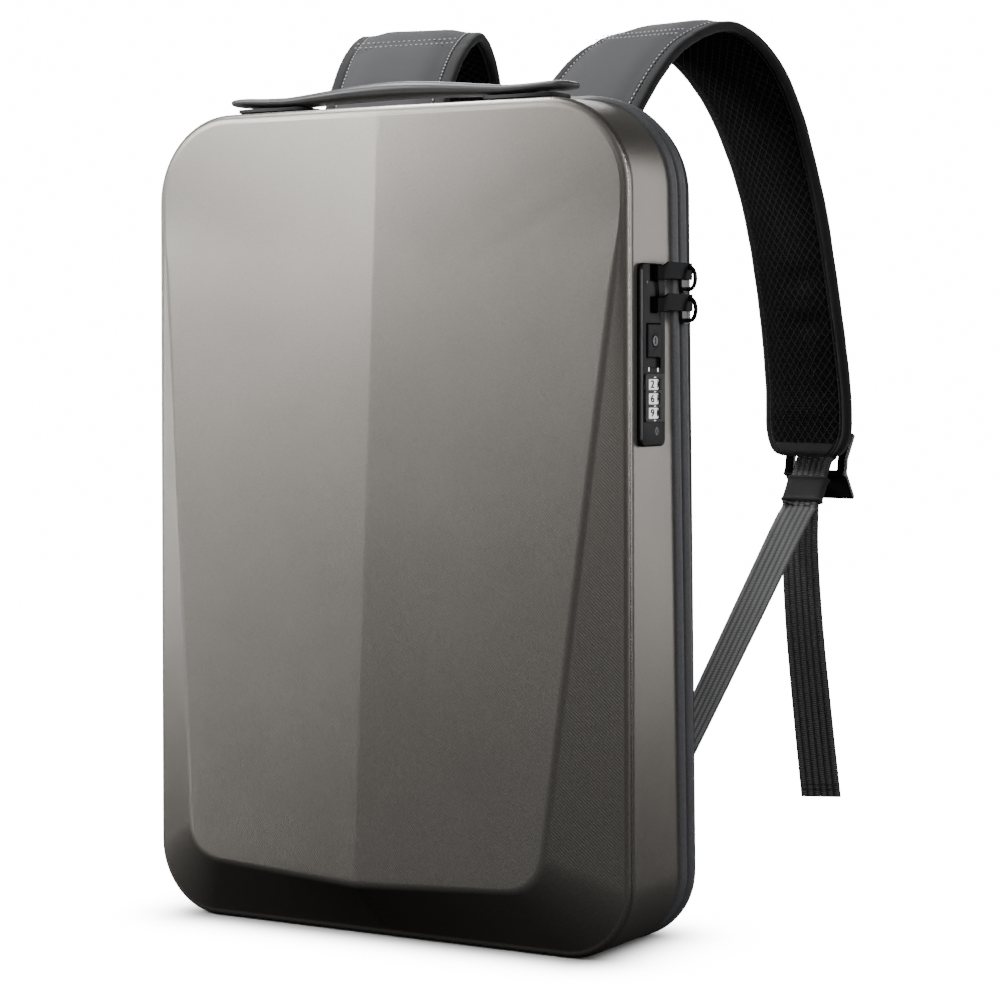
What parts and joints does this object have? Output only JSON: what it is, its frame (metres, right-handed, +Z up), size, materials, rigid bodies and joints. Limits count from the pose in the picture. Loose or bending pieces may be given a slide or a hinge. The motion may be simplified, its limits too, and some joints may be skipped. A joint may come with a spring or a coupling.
{
  "type": "hard shell backpack",
  "caption": "Slim hard shell backpack with a faceted front panel, a zip round its side, a side dial lock, a low carry handle and two padded shoulder straps on webbing.",
  "frame": {"origin": "on the floor, on the bag's centre plane, below the top of the rim where the front shell meets its zip", "axes": "-Y out of the front panel, +Y towards the wearer and the straps, +X towards the side with the lock, +Z up"},
  "size_m": [0.3226, 0.3412, 0.5145],
  "materials": {
    "shell": "satin bronze grey, fine twill texture",
    "piping": "coated cord with a fine leather grain",
    "zip_tape": "woven tape with moulded teeth",
    "back_fabric": "woven polyester",
    "back_mesh": "spacer mesh over foam",
    "lock_plastic": "satin black",
    "lock_dials": "white with dark digits",
    "lock_key": "brushed",
    "zip_metal": "gloss black",
    "handle_rubber": "satin",
    "handle_plastic": "matte",
    "strap_fabric": "smooth grey fabric, black honeycomb mesh under",
    "webbing": "ribbed woven webbing",
    "keeper_fabric": "folded fabric sleeve",
    "buckle_plastic": "moulded black"
  },
  "bodies": {
    "bag": {"front_shell": "shell", "front_piping": "piping", "rear_piping": "piping", "zip_tape": "zip_tape", "rear_body": "back_fabric", "back_panel": "back_mesh", "lock_housing": "lock_plastic", "zip_slider_upper": "zip_metal", "zip_slider_lower": "zip_metal", "zip_pull_upper": "zip_metal", "zip_pull_lower": "zip_metal", "carry_handle": "handle_rubber", "handle_base_left": "handle_plastic", "handle_base_right": "handle_plastic", "shoulder_strap_left": "strap_fabric", "shoulder_strap_right": "strap_fabric", "strap_loop_left": "webbing", "strap_loop_right": "webbing", "buckle_left": "buckle_plastic", "buckle_right": "buckle_plastic", "adjuster_webbing_left": "webbing", "adjuster_webbing_right": "webbing", "keeper_left": "keeper_fabric", "keeper_right": "keeper_fabric"},
    "release": {"release_slide": "lock_plastic"},
    "key": {"key_cylinder": "lock_key"},
    "dial_1": {"lock_dial_1": "lock_dials"},
    "dial_2": {"lock_dial_2": "lock_dials"},
    "dial_3": {"lock_dial_3": "lock_dials"}
  },
  "joints": [
    {"name": "dial_1_turn", "type": "hinge", "parent": "bag", "child": "dial_1", "pos_m": [0.14657, -0.02186, 0.29865], "axis": [0, 0, 1], "continuous": true},
    {"name": "dial_2_turn", "type": "hinge", "parent": "bag", "child": "dial_2", "pos_m": [0.14657, -0.02186, 0.2912], "axis": [0, 0, 1], "continuous": true},
    {"name": "dial_3_turn", "type": "hinge", "parent": "bag", "child": "dial_3", "pos_m": [0.14657, -0.02186, 0.28375], "axis": [0, 0, 1], "continuous": true},
    {"name": "release_slide_down", "type": "slide", "parent": "bag", "child": "release", "axis": [0, 0, -1], "range_m": [0, 0.005], "stiffness_N_per_m": 200, "springref_m": -0.001},
    {"name": "key_turn", "type": "hinge", "parent": "release", "child": "key", "pos_m": [0.15127, -0.022, 0.32125], "axis": [0.9996, -0.0299, 0], "range_deg": [0, 90]}
  ]
}
